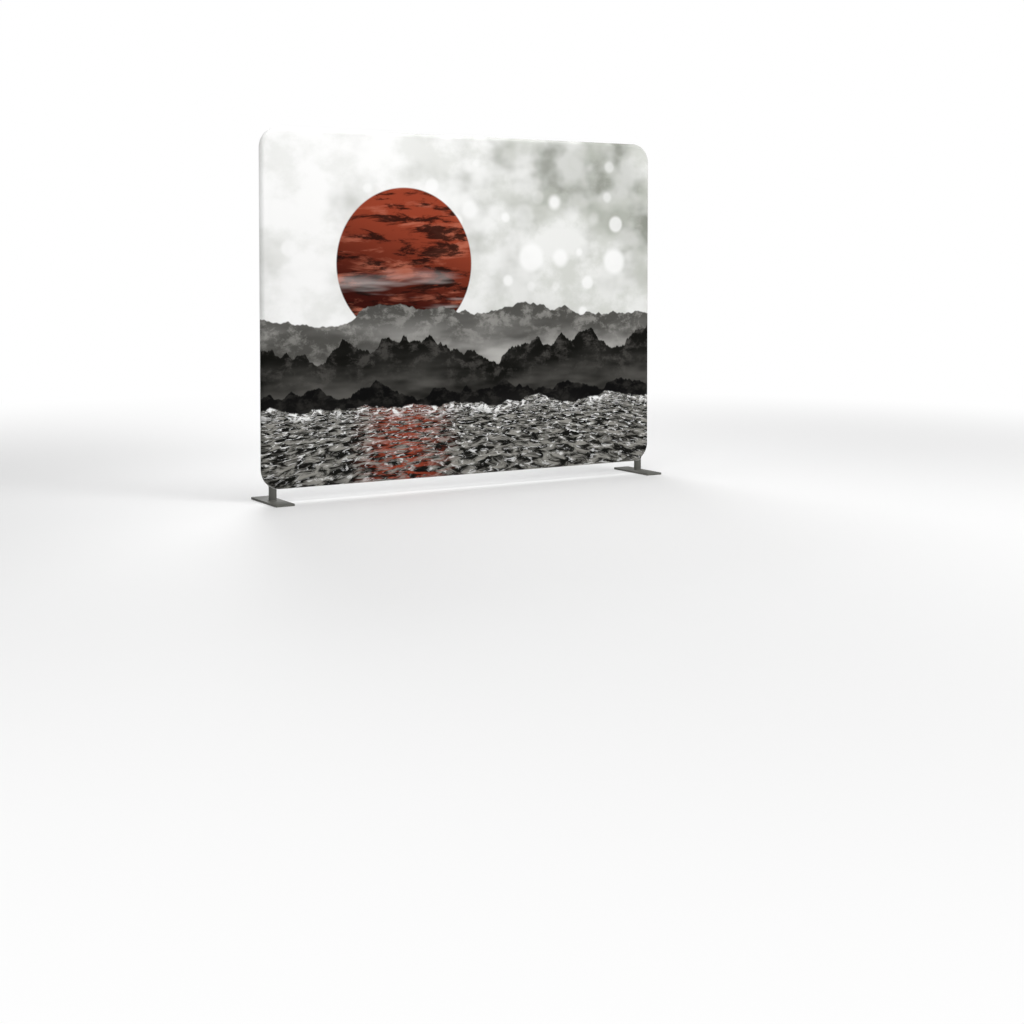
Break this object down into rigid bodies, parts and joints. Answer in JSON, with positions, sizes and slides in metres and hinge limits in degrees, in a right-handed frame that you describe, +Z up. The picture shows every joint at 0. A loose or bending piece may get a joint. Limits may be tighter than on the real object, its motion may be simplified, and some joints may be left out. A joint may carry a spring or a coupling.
{
  "type": "tabletop fabric backwall",
  "caption": "Tabletop display wall: a zipped printed stretch-fabric cover over a rounded plug-together tube frame, held upright on a table by flat plate feet with short posts.",
  "frame": {"origin": "on the table top, midway between the two feet and at mid-depth of the plates", "axes": "+X along the panel's width, +Y from the printed front to the back, +Z up"},
  "size_m": [1.7952, 0.25, 1.4191],
  "materials": {
    "tube": "satin anodised",
    "sleeve": "mill finish",
    "stub": "mill finish, welded",
    "rivet": "plain",
    "spring": "spring steel",
    "button": "zinc plated",
    "foot": "satin powder coat",
    "print_fabric": "printed stretch knit",
    "plain_fabric": "plain stretch knit",
    "zip_tape": "woven tape",
    "zip_chain": "coil",
    "zip_metal": "nickel plated"
  },
  "bodies": {
    "stand": {"corner_bottom_left": "tube", "corner_bottom_right": "tube", "corner_top_left": "tube", "corner_top_right": "tube", "bottom_rail_left": "tube", "bottom_rail_right": "tube", "top_rail_left": "tube", "top_rail_right": "tube", "side_tube_left": "tube", "side_tube_right": "tube", "spigot_bottom_middle": "sleeve", "spigot_bottom_left": "sleeve", "spigot_bottom_right": "sleeve", "spigot_left_bottom": "sleeve", "spigot_right_bottom": "sleeve", "spigot_top_middle": "sleeve", "spigot_top_left": "sleeve", "spigot_top_right": "sleeve", "spigot_left_top": "sleeve", "spigot_right_top": "sleeve", "base_plate_left": "foot", "base_plate_right": "foot", "post_left": "foot", "post_right": "foot", "stub_left": "stub", "stub_right": "stub", "rivets": "rivet", "snap_springs": "spring", "cover_front": "print_fabric", "cover_back": "plain_fabric", "zip_tape_upper": "zip_tape", "zip_tape_lower": "zip_tape", "zip_chain_upper": "zip_chain", "zip_chain_lower": "zip_chain", "zip_stops": "zip_metal"},
    "button_bottom_middle": {"button_bottom_middle": "button"},
    "button_bottom_left": {"button_bottom_left": "button"},
    "button_bottom_right": {"button_bottom_right": "button"},
    "button_left_bottom": {"button_left_bottom": "button"},
    "button_right_bottom": {"button_right_bottom": "button"},
    "button_top_middle": {"button_top_middle": "button"},
    "button_top_left": {"button_top_left": "button"},
    "button_top_right": {"button_top_right": "button"},
    "button_left_top": {"button_left_top": "button"},
    "button_right_top": {"button_right_top": "button"},
    "button_foot_left": {"button_foot_left": "button"},
    "button_foot_right": {"button_foot_right": "button"},
    "zip_slider": {"zip_slider": "zip_metal"},
    "zip_pull": {"zip_pull": "zip_metal"}
  },
  "joints": [
    {"name": "press_bottom_middle", "type": "slide", "parent": "stand", "child": "button_bottom_middle", "axis": [0, 0, -1], "range_m": [0, 0.004], "stiffness_N_per_m": 400, "springref_m": -0.004, "deforming": ["snap_springs"]},
    {"name": "press_bottom_left", "type": "slide", "parent": "stand", "child": "button_bottom_left", "axis": [0, 0, -1], "range_m": [0, 0.004], "stiffness_N_per_m": 400, "springref_m": -0.004, "deforming": ["snap_springs"]},
    {"name": "press_bottom_right", "type": "slide", "parent": "stand", "child": "button_bottom_right", "axis": [0, 0, -1], "range_m": [0, 0.004], "stiffness_N_per_m": 400, "springref_m": -0.004, "deforming": ["snap_springs"]},
    {"name": "press_left_bottom", "type": "slide", "parent": "stand", "child": "button_left_bottom", "axis": [-1, 0, 0], "range_m": [0, 0.004], "stiffness_N_per_m": 400, "springref_m": -0.004, "deforming": ["snap_springs"]},
    {"name": "press_right_bottom", "type": "slide", "parent": "stand", "child": "button_right_bottom", "axis": [1, 0, 0], "range_m": [0, 0.004], "stiffness_N_per_m": 400, "springref_m": -0.004, "deforming": ["snap_springs"]},
    {"name": "press_top_middle", "type": "slide", "parent": "stand", "child": "button_top_middle", "axis": [0, 0, 1], "range_m": [0, 0.004], "stiffness_N_per_m": 400, "springref_m": -0.004, "deforming": ["snap_springs"]},
    {"name": "press_top_left", "type": "slide", "parent": "stand", "child": "button_top_left", "axis": [0, 0, 1], "range_m": [0, 0.004], "stiffness_N_per_m": 400, "springref_m": -0.004, "deforming": ["snap_springs"]},
    {"name": "press_top_right", "type": "slide", "parent": "stand", "child": "button_top_right", "axis": [0, 0, 1], "range_m": [0, 0.004], "stiffness_N_per_m": 400, "springref_m": -0.004, "deforming": ["snap_springs"]},
    {"name": "press_left_top", "type": "slide", "parent": "stand", "child": "button_left_top", "axis": [-1, 0, 0], "range_m": [0, 0.004], "stiffness_N_per_m": 400, "springref_m": -0.004, "deforming": ["snap_springs"]},
    {"name": "press_right_top", "type": "slide", "parent": "stand", "child": "button_right_top", "axis": [1, 0, 0], "range_m": [0, 0.004], "stiffness_N_per_m": 400, "springref_m": -0.004, "deforming": ["snap_springs"]},
    {"name": "press_foot_left", "type": "slide", "parent": "stand", "child": "button_foot_left", "axis": [0, -1, 0], "range_m": [0, 0.004], "stiffness_N_per_m": 400, "springref_m": -0.004, "deforming": ["snap_springs"]},
    {"name": "press_foot_right", "type": "slide", "parent": "stand", "child": "button_foot_right", "axis": [0, -1, 0], "range_m": [0, 0.004], "stiffness_N_per_m": 400, "springref_m": -0.004, "deforming": ["snap_springs"]},
    {"name": "zip_run", "type": "slide", "parent": "stand", "child": "zip_slider", "axis": [-1, 0, 0], "range_m": [0, 1.62], "deforming": ["zip_chain_upper", "zip_chain_lower"]},
    {"name": "pull_flip", "type": "hinge", "parent": "zip_slider", "child": "zip_pull", "pos_m": [0.813, 0.0183, 0.1039], "axis": [0, 0, 1], "range_deg": [0, 180]}
  ]
}
